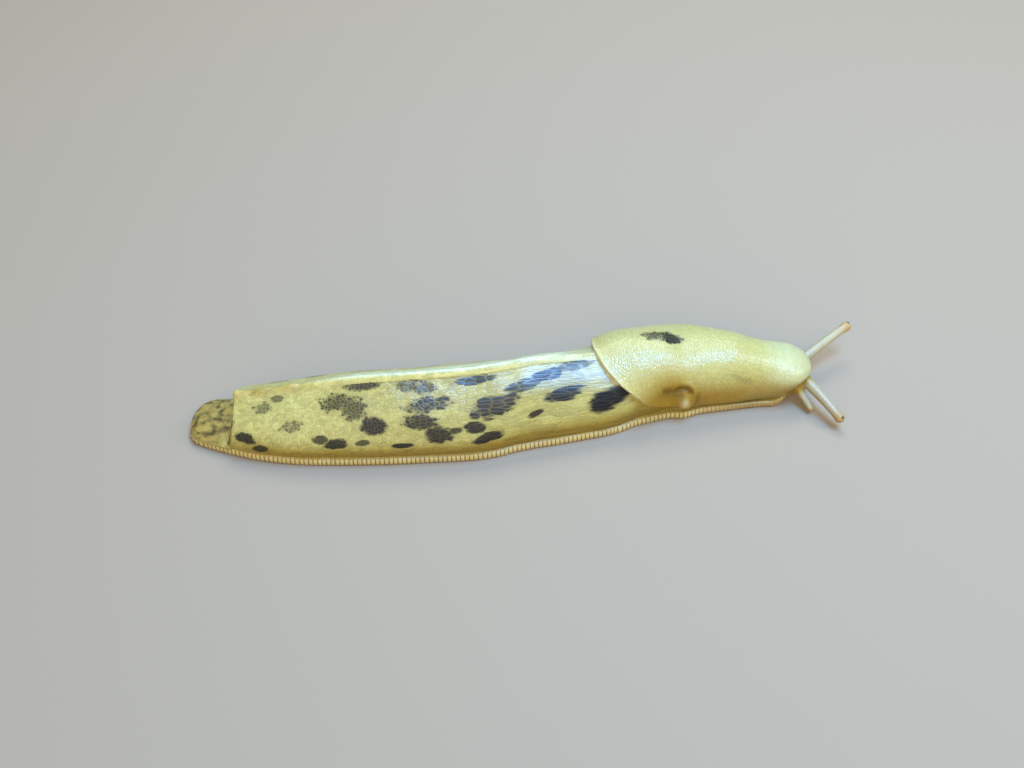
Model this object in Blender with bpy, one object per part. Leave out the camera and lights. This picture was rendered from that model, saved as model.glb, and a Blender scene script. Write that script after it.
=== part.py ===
"""A banana slug, life size, crawling on a level floor with its four tentacles out.

Metres, +Z up. The head points to +X, the sole is flat at z = 0, and the animal's right side,
with its breathing pore, is towards -Y. The origin is under the middle of the whole animal.
A place on the body is a station, the distance from the tail's tip along X, and an angle
round the cross-section, from straight up and + to the animal's left. Tables of stations give
a value in millimetres at a share of the body's length.
"""

import math

import bmesh
import bpy
import numpy as np
from mathutils import Matrix, Vector

MM = 0.001
GAP = 0.3 * MM  # left between pieces that touch

# The whole body, mantle included.
BODY_LENGTH = 112 * MM
MIDDLE_STATION = 60.9 * MM
MIDDLE_Y = -0.1 * MM
HALF_WIDTH = (
    (0, 4.7), (0.035, 5.2), (0.07, 6.1), (0.12, 7.4), (0.2, 8.45), (0.34, 8.75), (0.44, 9.15),
    (0.48, 8.85), (0.51, 8.1), (0.54, 7.85), (0.57, 7.95), (0.61, 7.95), (0.65, 8.1), (0.7, 7.95),
    (0.75, 7.9), (0.785, 8.4), (0.83, 7.25), (0.88, 6.0), (0.93, 5.15), (0.96, 5.2), (1, 4.6),
)  # fmt: skip
TOP_HEIGHT = (
    (0, 7.7), (0.1, 8.85), (0.2, 10.45), (0.27, 11.8), (0.34, 12.2), (0.43, 12.1), (0.5, 12.6),
    (0.53, 12.95), (0.57, 12.5), (0.61, 11.85), (0.65, 11.4), (0.7, 12.35), (0.75, 12.3), (0.785, 11.6),
    (0.82, 11.75), (0.865, 11.8), (0.9, 10.65), (0.95, 9.0), (1, 7.95),
)  # fmt: skip
SPINE_BEND = (
    (0, 2.4), (0.06, 0.5), (0.12, -0.5), (0.2, -1.3), (0.35, -2.3), (0.5, -2.2), (0.6, -1.1),
    (0.65, -0.2), (0.7, 1.4), (0.79, 2.7), (0.87, 1.5), (0.94, 0.5), (1, 0.0),
)  # fmt: skip
WIDEST_AT = 0.37  # height of the widest line, as a share of the top height
# At 1 the back is round, and above 1 it is more like a roof. The crest leans to the left.
SHOULDER = ((0, 1.25), (0.1, 1.3), (0.35, 1.4), (0.5, 1.38), (0.6, 1.3), (0.66, 1.15), (0.8, 0.92), (1, 0.9))
LEAN = ((0, 0), (0.06, 0.3), (0.2, 1.0), (0.35, 1.2), (0.5, 1.5), (0.6, 1.9), (0.66, 1.7), (0.78, 0), (1, 0))
BASE_ANGLE = math.radians(118)  # where the flank meets the foot

# The back, in lengths from tail to head.
BACK_CUTS = (0.17, 0.41, 0.64, 0.885)
BACK_NAMES = ("tail", "back_rear", "back_middle", "back_front", "head")
BACK_PITCH = 2.0 * MM
FINE_PITCH = 1.0 * MM  # on the tail and the head
SECTION_POINTS = 28

# The keel along the back. It ends in a step over a low rounded tail lobe, with the slime pore.
KEEL_HEIGHT = ((0, 1.0), (0.15, 1.1), (0.4, 0.8), (0.56, 0.65), (0.645, 0), (1, 0))
KEEL_HALF_WIDTH = 1.1 * MM
TAIL_ROUND = 3.8 * MM
TAIL_POWER = 2.6
TAIL_STEP_AT = 8.4 * MM
TAIL_STEP_LENGTH = 1.1 * MM
TAIL_LOBE_HEIGHT = 3.2 * MM
SLIME_PORE_BEHIND_STEP = 0.3 * MM
SLIME_PORE_OVER_LOBE = 0.9 * MM
SLIME_PORE_RADII = (0.9 * MM, 0.55 * MM, 0.9 * MM)

# The mantle, a thick hood over the front third, free at its rim. Rim angles are in degrees.
MANTLE_REAR = 72.5 * MM
MANTLE_SLANT = 20.9 * MM  # how much further forward the rim starts low on the flank
MANTLE_LIFT = ((0, 1.0), (0.64, 1.0), (0.72, 0.75), (0.8, 0.3), (0.9, 0.15), (1, 0.1))
MANTLE_NOSE = 111.9 * MM
MANTLE_ROUND = 6.0 * MM
MANTLE_POWER = 2.5
HOOD_MIDDLE = 5.9 * MM  # height of the widest line at the hood's nose
RIM_ANGLE = ((0, 111), (0.78, 111), (0.84, 114), (0.9, 116), (0.925, 114), (0.95, 105), (0.97, 91), (1, 80))
RIM_ANGLE_INSIDE = ((0, 114), (0.84, 112), (0.92, 92), (0.95, 60), (0.97, 25), (0.98, 12))
HOOD_MEETS_HEAD = 109.8 * MM
MANTLE_ROWS = 26
MANTLE_COLUMNS = 26
NOSE_CROWDING = 1.35

# The breathing pore, low on the mantle's right side: a pit with a raised round lip.
PORE_AT = (87.1 * MM, math.radians(-77))
PORE_LIP_RADIUS = 1.15 * MM
PORE_LIP_THICKNESS = 0.75 * MM
PORE_LIP_SUNK = 0.1 * MM
PORE_PIT_RADII = (0.62 * MM, 0.8 * MM, 0.8 * MM)

# The head, a blunt snout under the hood. The tucks are how far it lies inside the whole body.
TOP_TUCK = ((0, 0), (0.62, 0), (0.7, 0.25), (0.78, 0.85), (0.88, 1.3), (0.96, 2.2), (1, 2.6))
SIDE_TUCK = ((0, 0), (0.62, 0), (0.7, 0.25), (0.78, 0.85), (0.88, 1.3), (0.96, 1.5), (1, 1.4))
SNOUT_END = 111.8 * MM
SNOUT_ROUND = 4.5 * MM
SNOUT_POWER = 2.7
SNOUT_MIDDLE = 3.9 * MM
FRONT_SHARE = 0.15  # of the body's length, over which the widest line moves to the snout's
LIP_STATION = 110.6 * MM
LIP_SIDEWAYS = 1.1 * MM
LIP_HEIGHT = 2.1 * MM
LIP_RADII = (1.1 * MM, 0.95 * MM, 0.85 * MM)
MOUTH_STATION = 111.6 * MM
MOUTH_HALF_WIDTH = 1.7 * MM
MOUTH_HEIGHT = 3.1 * MM
MOUTH_DROP = 0.9 * MM
MOUTH_SWEEP = 0.5 * MM
MOUTH_LINE_RADIUS = 0.22 * MM

# Tentacles: degrees round the head, turn from the heading, rise, sag in 1/m, and diameters in mm
# at shares of the length.
UPPER_STATION = 110.9 * MM
UPPER_ANGLE = 74
UPPER_POSE = {"right": (57, -7, 10, 9.8 * MM), "left": (34, 17, 8, 13.0 * MM)}
UPPER_DIAMETERS = ((0, 2.0), (0.3, 1.8), (0.8, 1.65), (0.95, 1.95), (1, 1.95))
UPPER_BOSS = 0.8 * MM
LOWER_STATION = 109.6 * MM
LOWER_ANGLE = 100
LOWER_POSE = {"right": (58, -22, 20, 4.4 * MM), "left": (38, -12, 20, 4.2 * MM)}
LOWER_DIAMETERS = ((0, 1.45), (0.5, 1.2), (1, 1.35))
LOWER_BOSS = 0.6 * MM
TENTACLE_RINGS = (0, 0.12, 0.3, 0.5, 0.68, 0.8, 0.89, 0.93, 0.96, 0.985, 0.998)
BOSS_ROOT = 1.2 * MM
BOSS_SPREAD = (1.25, 1.05)
EYE_RADIUS = 0.3 * MM
EYE_GAP = 0.18 * MM
EYE_SUNK = 0.22 * MM
EYE_TILT = math.radians(60)  # from the tentacle's line towards its upper side

# The foot, a muscular slab with a ribbed fringe all round, in lengths from the rear.
FOOT_CUTS = (0.3, 0.64)
FOOT_NAMES = ("foot_rear", "foot_middle", "foot_front")
FOOT_END = 108.8 * MM
FOOT_ROUND = 4.5 * MM
FOOT_HEIGHT = 1.5 * MM
FLANK_OVER_FOOT = 0.1 * MM
FRINGE_ROUND = 0.5 * MM
RIB_SPACING = 1.4 * MM
RIB_DEPTH = 0.28 * MM
RINGS_PER_RIB = 3


def profile(stations, share):
    """The smooth curve through (share, value) stations, without overshoot."""
    x, y = np.array(stations, float).T
    rise = np.diff(y) / np.diff(x)
    before, after = rise[:-1], rise[1:]
    turns = before * after <= 0
    inner = np.where(turns, 0, 2 * before * after / np.where(turns, 1, before + after))
    slope = np.concatenate([rise[:1], inner, rise[-1:]])
    share = np.clip(np.asarray(share, float), x[0], x[-1])
    i = np.clip(np.searchsorted(x, share, side="right") - 1, 0, len(x) - 2)
    width = x[i + 1] - x[i]
    t = (share - x[i]) / width
    ends = y[i] * (1 + 2 * t) * (1 - t) ** 2 + y[i + 1] * t**2 * (3 - 2 * t)
    return ends + slope[i] * width * t * (1 - t) ** 2 + slope[i + 1] * width * t**2 * (t - 1)


def along(stations, s):
    """A table's value in metres at station s."""
    return profile(stations, s / BODY_LENGTH) * MM


def round_end(distance, reach, power=2.0):
    """0 to 1 as the outline of a round end does, over reach."""
    t = np.clip(1 - distance / reach, 0, 1)
    return (1 - t**power) ** (1 / power)


def step(x):
    """0 to 1, smoothly, as x goes from 0 to 1."""
    x = np.clip(x, 0, 1)
    return x * x * (3 - 2 * x)


def towards_front(s, behind, at_front):
    """A height that moves from its value behind to the one at the front."""
    share = step((s / BODY_LENGTH - 1 + FRONT_SHARE) / FRONT_SHARE)
    return behind + (at_front - behind) * share


def arch(angle, s, width, middle, top, base):
    """(sideways, up) of one cross-section with its widest line at the height middle."""
    sine, cosine = np.sin(angle), np.cos(angle)
    power = profile(SHOULDER, s / BODY_LENGTH)
    below = (middle - base) / -math.cos(BASE_ANGLE)
    rise = np.where(cosine < 0, 0, np.abs(cosine) ** power)
    sideways = width * np.where(cosine < 0, sine, np.sign(sine) * np.abs(sine) ** power)
    up = middle + np.where(cosine < 0, below * cosine, (top - middle) * rise)
    return sideways + along(LEAN, s) * rise**2, up


def back_section(s, angle):
    """The back and head, without the mantle."""
    floor = FOOT_HEIGHT + GAP
    over_step = step((s - TAIL_STEP_AT) / TAIL_STEP_LENGTH + 0.5)
    tail = round_end(s, TAIL_ROUND, TAIL_POWER)
    snout = round_end(SNOUT_END - s, SNOUT_ROUND, SNOUT_POWER)
    width = (along(HALF_WIDTH, s) - along(SIDE_TUCK, s)) * tail * snout
    lobe = floor + (TAIL_LOBE_HEIGHT - floor) * tail
    top = lobe + (along(TOP_HEIGHT, s) - along(TOP_TUCK, s) - lobe) * over_step
    middle = towards_front(s, np.maximum(WIDEST_AT * top, floor + GAP), SNOUT_MIDDLE)
    top = middle + (top - middle) * snout
    base = middle + (floor - middle) * snout
    sideways, up = arch(angle, s, width, middle, top, base)
    keel = along(KEEL_HEIGHT, s) * over_step
    from_crest = width * np.abs(np.sin(angle)) ** profile(SHOULDER, s / BODY_LENGTH)
    return sideways, up + keel * np.exp(-((from_crest / KEEL_HALF_WIDTH) ** 2)) * (np.cos(angle) > 0)


def mantle_section(s, angle):
    """The mantle's outer face."""
    lift = along(MANTLE_LIFT, s)
    nose = round_end(MANTLE_NOSE - s, MANTLE_ROUND, MANTLE_POWER)
    width = (along(HALF_WIDTH, s) + lift) * nose
    top = along(TOP_HEIGHT, s) + lift
    middle = towards_front(s, WIDEST_AT * top, HOOD_MIDDLE)
    top = middle + (top - middle) * nose
    base = middle + (FOOT_HEIGHT + GAP - middle) * nose
    return arch(angle, s, width, middle, top, base)


def grown(section, s, angle, out):
    """A section's points moved out by a distance, square to its outline."""
    turn = 0.002
    y0, z0 = section(s, angle - turn)
    y1, z1 = section(s, angle + turn)
    along_y, along_z = y1 - y0, z1 - z0
    length = np.hypot(along_y, along_z)
    y, z = section(s, angle)
    return y - out * along_z / length, z + out * along_y / length


def spine(s):
    """(x, y) of the body's middle line and its heading (x, y) at station s."""
    share = np.asarray(s) / BODY_LENGTH
    inside = np.clip(share, 0, 1)
    low, high = np.clip(inside - 0.004, 0, 1), np.clip(inside + 0.004, 0, 1)
    lean = (profile(SPINE_BEND, high) - profile(SPINE_BEND, low)) * MM / ((high - low) * BODY_LENGTH)
    y = profile(SPINE_BEND, share) * MM + lean * (share - inside) * BODY_LENGTH
    length = np.sqrt(1 + lean**2)
    return s - MIDDLE_STATION, y - MIDDLE_Y, 1 / length, lean / length


def place(s, sideways, up):
    """Points of the model from stations, distances to the left and heights."""
    x, y, forward_x, forward_y = spine(s)
    return np.stack(np.broadcast_arrays(x - sideways * forward_y, y + sideways * forward_x, up), axis=-1)


def square_to(section, s, angle):
    """A point of a surface and the directions out of it and forward along it."""
    ahead = 0.02 * MM
    turn = 0.002
    point = place(s, *section(s, angle))
    forward = place(s + ahead, *section(s + ahead, angle)) - point
    around = place(s, *section(s, angle + turn)) - point
    out = np.cross(forward, around)
    return point, out / np.linalg.norm(out), forward / np.linalg.norm(forward)


def material(name, colour, roughness):
    made = bpy.data.materials.new(name)
    made.use_nodes = True
    shader = made.node_tree.nodes["Principled BSDF"]
    shader.inputs["Base Color"].default_value = (*colour, 1)
    shader.inputs["Roughness"].default_value = roughness
    return made


def finish_mesh(mesh):
    """Smooth faces, with the cut ends of a length left sharp."""
    mesh.shade_smooth()
    mesh.set_sharp_from_angle(angle=math.radians(50))


def add_object(name, points, faces, finish):
    mesh = bpy.data.meshes.new(name)
    mesh.from_pydata([tuple(point) for point in points], [], faces)
    mesh.materials.append(finish)
    work = bmesh.new()
    work.from_mesh(mesh)
    bmesh.ops.recalc_face_normals(work, faces=work.faces)
    work.to_mesh(mesh)
    work.free()
    finish_mesh(mesh)
    made = bpy.data.objects.new(name, mesh)
    bpy.context.scene.collection.objects.link(made)
    return made


def skin_between(rings, closed=False):
    """Faces that join each ring of points to the next, and the last to the first if closed."""
    count, size = len(rings), len(rings[0])
    faces = []
    for i in range(count if closed else count - 1):
        low, high = i * size, (i + 1) % count * size
        for j in range(size):
            k = (j + 1) % size
            faces.append((low + j, low + k, high + k, high + j))
    return faces


def loft(name, rings, finish):
    """A closed solid through rings of points, with flat ends."""
    count, size = len(rings), len(rings[0])
    faces = skin_between(rings)
    faces.append(tuple(range(size)))
    faces.append(tuple(range((count - 1) * size, count * size)))
    return add_object(name, np.concatenate(rings), faces, finish)


def circle(centre, first, second, radius, sides):
    turns = np.arange(sides) * 2 * math.pi / sides
    return centre + radius * (np.cos(turns)[:, None] * first + np.sin(turns)[:, None] * second)


def tube(name, points, radii, finish, sides=10):
    """A tapering round tube along a line of points, with flat ends."""
    points = np.array(points, float)
    tangents = np.gradient(points, axis=0)
    tangents /= np.linalg.norm(tangents, axis=1)[:, None]
    side = np.cross(tangents[0], (0, 0, 1.0))
    rings = []
    for point, tangent, radius in zip(points, tangents, radii, strict=True):
        side = side - tangent * (side @ tangent)
        side /= np.linalg.norm(side)
        rings.append(circle(point, side, np.cross(tangent, side), radius, sides))
    return loft(name, rings, finish)


def torus(name, centre, out, forward, radius, thickness, finish):
    across = np.cross(out, forward)
    rings = []
    for spoke in circle(np.zeros(3), forward, across, 1.0, 16):
        rings.append(circle(centre + spoke * radius, spoke, out, thickness / 2, 8))
    return add_object(name, np.concatenate(rings), skin_between(rings, closed=True), finish)


def ball(name, centre, radii, facing, finish, segments=12):
    """An ellipsoid. facing is the direction of its first radius."""
    mesh = bpy.data.meshes.new(name)
    work = bmesh.new()
    bmesh.ops.create_uvsphere(work, u_segments=segments, v_segments=segments // 2 + 1, radius=1)
    turn = Vector(facing).to_track_quat("X", "Z").to_matrix().to_4x4()
    work.transform(Matrix.Translation(Vector(centre)) @ turn @ Matrix.Diagonal((*radii, 1)))
    work.to_mesh(mesh)
    work.free()
    mesh.materials.append(finish)
    finish_mesh(mesh)
    made = bpy.data.objects.new(name, mesh)
    bpy.context.scene.collection.objects.link(made)
    return made


def combine(target, operation, pieces):
    """One Boolean with all the pieces at once, applied. Only the largest closed surface is kept."""
    group = bpy.data.collections.new(target.name + "_pieces")
    bpy.context.scene.collection.children.link(group)
    for piece in pieces:
        group.objects.link(piece)
        bpy.context.scene.collection.objects.unlink(piece)
    cut = target.modifiers.new("combine", "BOOLEAN")
    cut.operation = operation
    cut.solver = "EXACT"
    cut.operand_type = "COLLECTION"
    cut.collection = group
    state = bpy.context.evaluated_depsgraph_get()
    target.data = bpy.data.meshes.new_from_object(target.evaluated_get(state))
    target.modifiers.clear()
    for piece in pieces:
        bpy.data.objects.remove(piece)
    bpy.data.collections.remove(group)
    keep_largest(target.data)
    finish_mesh(target.data)


def keep_largest(mesh):
    """Clean a Boolean's result and drop all but its largest closed surface."""
    work = bmesh.new()
    work.from_mesh(mesh)
    bmesh.ops.remove_doubles(work, verts=work.verts, dist=0.004 * MM)
    bmesh.ops.dissolve_degenerate(work, edges=work.edges, dist=0.002 * MM)
    bmesh.ops.triangulate(work, faces=[face for face in work.faces if len(face.verts) > 4])
    left = set(work.verts)
    shells = []
    while left:
        shell, queue = set(), [left.pop()]
        while queue:
            vert = queue.pop()
            shell.add(vert)
            near = {edge.other_vert(vert) for edge in vert.link_edges} & left
            left -= near
            queue.extend(near)
        shells.append(shell)
    largest = max(shells, key=len)
    bmesh.ops.delete(work, geom=[vert for vert in work.verts if vert not in largest], context="VERTS")
    work.to_mesh(mesh)
    work.free()


def lengths(cuts, low, high):
    """(start, end) of each length of the body between its cuts."""
    edges = [low] + [cut * BODY_LENGTH for cut in cuts] + [high]
    starts = [low] + [edge + GAP / 2 for edge in edges[1:-1]]
    ends = [edge - GAP / 2 for edge in edges[1:-1]] + [high]
    return list(zip(starts, ends, strict=True))


def build_back(finish):
    angles = np.linspace(-BASE_ANGLE, BASE_ANGLE, SECTION_POINTS)
    spans = lengths(BACK_CUTS, 0.4 * MM, SNOUT_END - 0.1 * MM)
    for name, (start, end) in zip(BACK_NAMES, spans, strict=True):
        pitch = FINE_PITCH if name in ("tail", "head") else BACK_PITCH
        count = math.ceil((end - start) / pitch)
        rings = []
        for s in np.linspace(start, end, count + 1):
            rings.append(place(s, *back_section(s, angles)))
        loft(name, rings, finish)


def build_slime_pore(finish):
    """A small notch under the keel's end."""
    at = place(TAIL_STEP_AT - SLIME_PORE_BEHIND_STEP, 0.0, TAIL_LOBE_HEIGHT + SLIME_PORE_OVER_LOBE)
    pit = ball("slime_pore", at, SLIME_PORE_RADII, (1, 0, 0), finish)
    combine(bpy.data.objects["tail"], "DIFFERENCE", [pit])


def foot_half_width(s):
    width = along(HALF_WIDTH, s) - FLANK_OVER_FOOT
    return width * round_end(s, TAIL_ROUND, TAIL_POWER) * round_end(FOOT_END - s, FOOT_ROUND)


def foot_ring(s, notch):
    """The foot's cross-section, with its edge drawn in by a notch."""
    width = foot_half_width(s)
    edge = width - notch
    inner = max(width - FRINGE_ROUND, width * 0.3)
    right = [(-inner, 0), (-edge, FRINGE_ROUND), (-edge, FOOT_HEIGHT - FRINGE_ROUND), (-inner, FOOT_HEIGHT)]
    left = [(-y, z) for y, z in right[::-1]]
    sideways, up = np.array(right + left).T
    return place(s, sideways, up)


def build_foot(finish):
    """The ribs are the full-width rings, with a notch between them."""
    spans = lengths(FOOT_CUTS, 0.2 * MM, FOOT_END - 0.1 * MM)
    for name, (start, end) in zip(FOOT_NAMES, spans, strict=True):
        count = round((end - start) / RIB_SPACING) * RINGS_PER_RIB
        rings = []
        for i, s in enumerate(np.linspace(start, end, count + 1)):
            notch = RIB_DEPTH if i % RINGS_PER_RIB == 0 and 0 < i < count else 0
            rings.append(foot_ring(s, notch))
        loft(name, rings, finish)


def rim_start(v):
    """Station of the mantle's rear rim at v, from -1 on the right to 1 on the left."""
    return MANTLE_REAR + MANTLE_SLANT * (v**2 + v**8) / 2


def mantle_sheet(section, out, nose, rim, columns):
    """Rows of points from the rear rim to the nose, and the nose's own point."""
    rows = []
    for u in np.linspace(0, 1, MANTLE_ROWS + 1)[:-1]:
        start = rim_start(columns)
        s = start + (1 - (1 - u) ** NOSE_CROWDING) * (nose - start)
        angle = columns * np.radians(profile(rim, s / BODY_LENGTH))
        rows.append(place(s, *grown(section, s, angle, out)))
    return np.concatenate(rows), place(nose, 0.0, section(nose, 0.0)[1] + out)


def build_mantle(finish):
    """A closed shell: an outer and an inner sheet of the same grid, joined along the rim."""
    even = np.linspace(-1, 1, MANTLE_COLUMNS + 1)
    columns = 1.5 * even - 0.5 * even**3
    outer, outer_nose = mantle_sheet(mantle_section, 0.0, MANTLE_NOSE, RIM_ANGLE, columns)
    inner, inner_nose = mantle_sheet(back_section, GAP, HOOD_MEETS_HEAD, RIM_ANGLE_INSIDE, columns)
    across = len(columns)
    shift = len(outer)
    tips = (2 * shift, 2 * shift + 1)
    faces = []
    for i in range(MANTLE_ROWS):
        last = i + 1 == MANTLE_ROWS
        for j in range(across - 1):
            a, b = i * across + j, i * across + j + 1
            ahead = (tips[0],) if last else (b + across, a + across)
            ahead_inside = (tips[1],) if last else (shift + b + across, shift + a + across)
            faces.append((a, b, *ahead))
            faces.append((shift + a, shift + b, *ahead_inside))
        for a in (i * across, (i + 1) * across - 1):
            ahead = tips if last else (a + across, shift + a + across)
            faces.append((a, *ahead, shift + a))
    for j in range(across - 1):
        faces.append((j, j + 1, shift + j + 1, shift + j))
    points = np.concatenate([outer, inner, [outer_nose], [inner_nose]])
    return add_object("mantle", points, faces, finish)


def build_breathing_pore(finish):
    point, out, forward = square_to(mantle_section, *PORE_AT)
    mantle = bpy.data.objects["mantle"]
    middle = point - out * PORE_LIP_SUNK
    lip = torus("lip", middle, out, forward, PORE_LIP_RADIUS, PORE_LIP_THICKNESS, finish)
    combine(mantle, "UNION", [lip])
    combine(mantle, "DIFFERENCE", [ball("pit", point, PORE_PIT_RADII, out, finish)])


def tentacle_line(s, degrees, outward, rise, sag):
    """The middle line of a tentacle, as a function of the distance from the head's surface."""
    root = place(s, *back_section(s, math.radians(degrees)))
    _, _, forward_x, forward_y = spine(s)
    heading = np.array([forward_x, forward_y, 0])
    left = np.array([-forward_y, forward_x, 0])
    up = np.array([0, 0, 1])
    turn, rise = math.radians(outward), math.radians(rise)
    flat = math.cos(turn) * heading + math.sin(turn) * left
    direction = math.cos(rise) * flat + math.sin(rise) * up

    def line(distance):
        return root + direction * distance - up * sag * distance**2

    return line


def build_tentacle(name, line, length, diameters, boss_end, finish):
    """A tentacle with a round tip in its own node. Gives the boss on the head that it grows from."""
    start = boss_end + GAP
    shares = np.array(TENTACLE_RINGS)
    distances = start + (length - start) * shares
    radii = profile(diameters, shares) * MM / 2
    radii = radii * round_end(length - distances, radii[-1])
    tube(name, [line(distance) for distance in distances], radii, finish)
    root = diameters[0][1] * MM / 2
    ends = [line(-BOSS_ROOT), line(boss_end)]
    return tube(name + "_boss", ends, [root * share for share in BOSS_SPREAD], finish)


def build_eye(word, line, length, skin, eye):
    """A bead in a small socket on an upper tentacle's round tip."""
    tip = UPPER_DIAMETERS[-1][1] * MM / 2
    middle = line(length - tip)
    ahead = line(length) - middle
    ahead /= np.linalg.norm(ahead)
    upward = np.array([0, 0, 1]) - ahead * ahead[2]
    upward /= np.linalg.norm(upward)
    facing = math.cos(EYE_TILT) * ahead + math.sin(EYE_TILT) * upward
    centre = middle + (tip - EYE_SUNK) * facing
    ball("eye_" + word, centre, (EYE_RADIUS,) * 3, facing, eye, 14)
    socket = ball("socket", centre, (EYE_RADIUS + EYE_GAP,) * 3, facing, skin, 14)
    combine(bpy.data.objects["upper_tentacle_" + word], "DIFFERENCE", [socket])


def build_head(skin, eye):
    """Tentacles, eyes, lips and mouth on the head's solid."""
    grown_on = []
    for side, word in ((-1, "right"), (1, "left")):
        outward, rise, sag, length = UPPER_POSE[word]
        line = tentacle_line(UPPER_STATION, side * UPPER_ANGLE, side * outward, rise, sag)
        boss = build_tentacle("upper_tentacle_" + word, line, length, UPPER_DIAMETERS, UPPER_BOSS, skin)
        build_eye(word, line, length, skin, eye)
        grown_on.append(boss)
        outward, rise, sag, length = LOWER_POSE[word]
        line = tentacle_line(LOWER_STATION, side * LOWER_ANGLE, side * outward, rise, sag)
        boss = build_tentacle("lower_tentacle_" + word, line, length, LOWER_DIAMETERS, LOWER_BOSS, skin)
        grown_on.append(boss)
        lip = place(LIP_STATION, side * LIP_SIDEWAYS, LIP_HEIGHT)
        grown_on.append(ball("lip", lip, LIP_RADII, (1, 0, 0), skin))
    head = bpy.data.objects["head"]
    combine(head, "UNION", grown_on)
    mouth = []
    for turn in np.linspace(-1, 1, 9):
        s = MOUTH_STATION - MOUTH_SWEEP * turn**2
        mouth.append(place(s, MOUTH_HALF_WIDTH * turn, MOUTH_HEIGHT - MOUTH_DROP * turn**2))
    combine(head, "DIFFERENCE", [tube("mouth", mouth, [MOUTH_LINE_RADIUS] * 9, skin, 6)])


def main():
    for old in list(bpy.data.objects):
        bpy.data.objects.remove(old)
    skin = material("olive_skin", (0.42, 0.40, 0.13), 0.35)
    mantle = material("mantle_skin", (0.60, 0.56, 0.24), 0.35)
    fringe = material("foot_skin", (0.52, 0.42, 0.18), 0.4)
    feelers = material("tentacle_skin", (0.62, 0.60, 0.38), 0.35)
    eye = material("eye", (0.02, 0.015, 0.01), 0.15)
    build_back(skin)
    build_slime_pore(skin)
    build_foot(fringe)
    build_mantle(mantle)
    build_breathing_pore(mantle)
    build_head(feelers, eye)


main()
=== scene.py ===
"""The banana slug's skin, eyes, floor, light and camera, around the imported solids.

Metres, +Z up, the head towards +X and the animal's right side towards -Y. A place on the body is
a station, the distance from the tail's tip, and an angle round the cross-section from straight up,
+ to the left. Tables give millimetres at a share of the body's length.
"""

import math

import bmesh
import bpy
import numpy as np
from mathutils import Matrix, Vector


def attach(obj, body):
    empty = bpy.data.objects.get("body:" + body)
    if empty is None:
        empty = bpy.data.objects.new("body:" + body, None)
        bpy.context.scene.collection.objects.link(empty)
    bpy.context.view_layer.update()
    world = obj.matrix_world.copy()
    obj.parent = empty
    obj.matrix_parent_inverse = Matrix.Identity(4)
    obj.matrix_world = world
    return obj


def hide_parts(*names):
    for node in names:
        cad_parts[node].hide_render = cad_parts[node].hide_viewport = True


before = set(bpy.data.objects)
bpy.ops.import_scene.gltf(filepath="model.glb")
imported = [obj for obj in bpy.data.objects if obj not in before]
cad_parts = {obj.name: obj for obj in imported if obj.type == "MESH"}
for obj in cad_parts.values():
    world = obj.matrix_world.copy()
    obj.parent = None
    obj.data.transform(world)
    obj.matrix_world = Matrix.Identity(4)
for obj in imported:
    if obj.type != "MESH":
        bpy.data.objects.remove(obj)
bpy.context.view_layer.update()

# The back is one long muscle, round behind the mantle and more like a roof towards the tail.
# It is soft wet flesh, drawn here as rings round a bent middle line, from the tail to the snout.
# A low keel runs along the crest and ends in a step over a short round tail lobe.

MM = 0.001
BODY_LENGTH = 112 * MM
MIDDLE_STATION = 60.9 * MM
MIDDLE_Y = -0.1 * MM
HALF_WIDTH = (
    (0, 4.7), (0.035, 5.2), (0.07, 6.1), (0.12, 7.4), (0.2, 8.45), (0.34, 8.75), (0.44, 9.15),
    (0.48, 8.85), (0.51, 8.1), (0.54, 7.85), (0.57, 7.95), (0.61, 7.95), (0.65, 8.1), (0.7, 7.95),
    (0.75, 7.9), (0.785, 8.4), (0.83, 7.25), (0.88, 6.0), (0.93, 5.15), (0.96, 5.2), (1, 4.6),
)  # fmt: skip
TOP_HEIGHT = (
    (0, 7.7), (0.1, 8.85), (0.2, 10.45), (0.27, 11.8), (0.34, 12.2), (0.43, 12.1), (0.5, 12.6),
    (0.53, 12.95), (0.57, 12.5), (0.61, 11.85), (0.65, 11.4), (0.7, 12.35), (0.75, 12.3), (0.785, 11.6),
    (0.82, 11.75), (0.865, 11.8), (0.9, 10.65), (0.95, 9.0), (1, 7.95),
)  # fmt: skip
SPINE_BEND = (
    (0, 2.4), (0.06, 0.5), (0.12, -0.5), (0.2, -1.3), (0.35, -2.3), (0.5, -2.2), (0.6, -1.1),
    (0.65, -0.2), (0.7, 1.4), (0.79, 2.7), (0.87, 1.5), (0.94, 0.5), (1, 0.0),
)  # fmt: skip
WIDEST_AT = 0.37
SHOULDER = (
    (0, 1.25), (0.1, 1.3), (0.35, 1.4), (0.5, 1.38), (0.6, 1.3), (0.66, 1.15), (0.8, 0.92), (1, 0.9),
)  # fmt: skip
LEAN = (
    (0, 0), (0.06, 0.3), (0.2, 1.0), (0.35, 1.2), (0.5, 1.5), (0.6, 1.9), (0.66, 1.7), (0.78, 0), (1, 0),
)  # fmt: skip
BASE_ANGLE = math.radians(118)
BACK_FLOOR = 1.3 * MM  # the flank's lower edge, sunk into the foot
WIDEST_OVER_FLOOR = 0.3 * MM
KEEL_HEIGHT = ((0, 1.0), (0.15, 1.1), (0.4, 0.8), (0.56, 0.65), (0.645, 0.3), (0.66, 0), (1, 0))
KEEL_HALF_WIDTH = 1.1 * MM
TAIL_ROUND = 3.8 * MM
TAIL_POWER = 2.6
TAIL_STEP_AT = 8.4 * MM
TAIL_STEP_LENGTH = 1.1 * MM
TAIL_LOBE_HEIGHT = 3.2 * MM
TOP_TUCK = ((0, 0), (0.62, 0), (0.7, 0.25), (0.78, 0.85), (0.88, 1.3), (0.96, 2.2), (1, 2.6))
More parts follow.
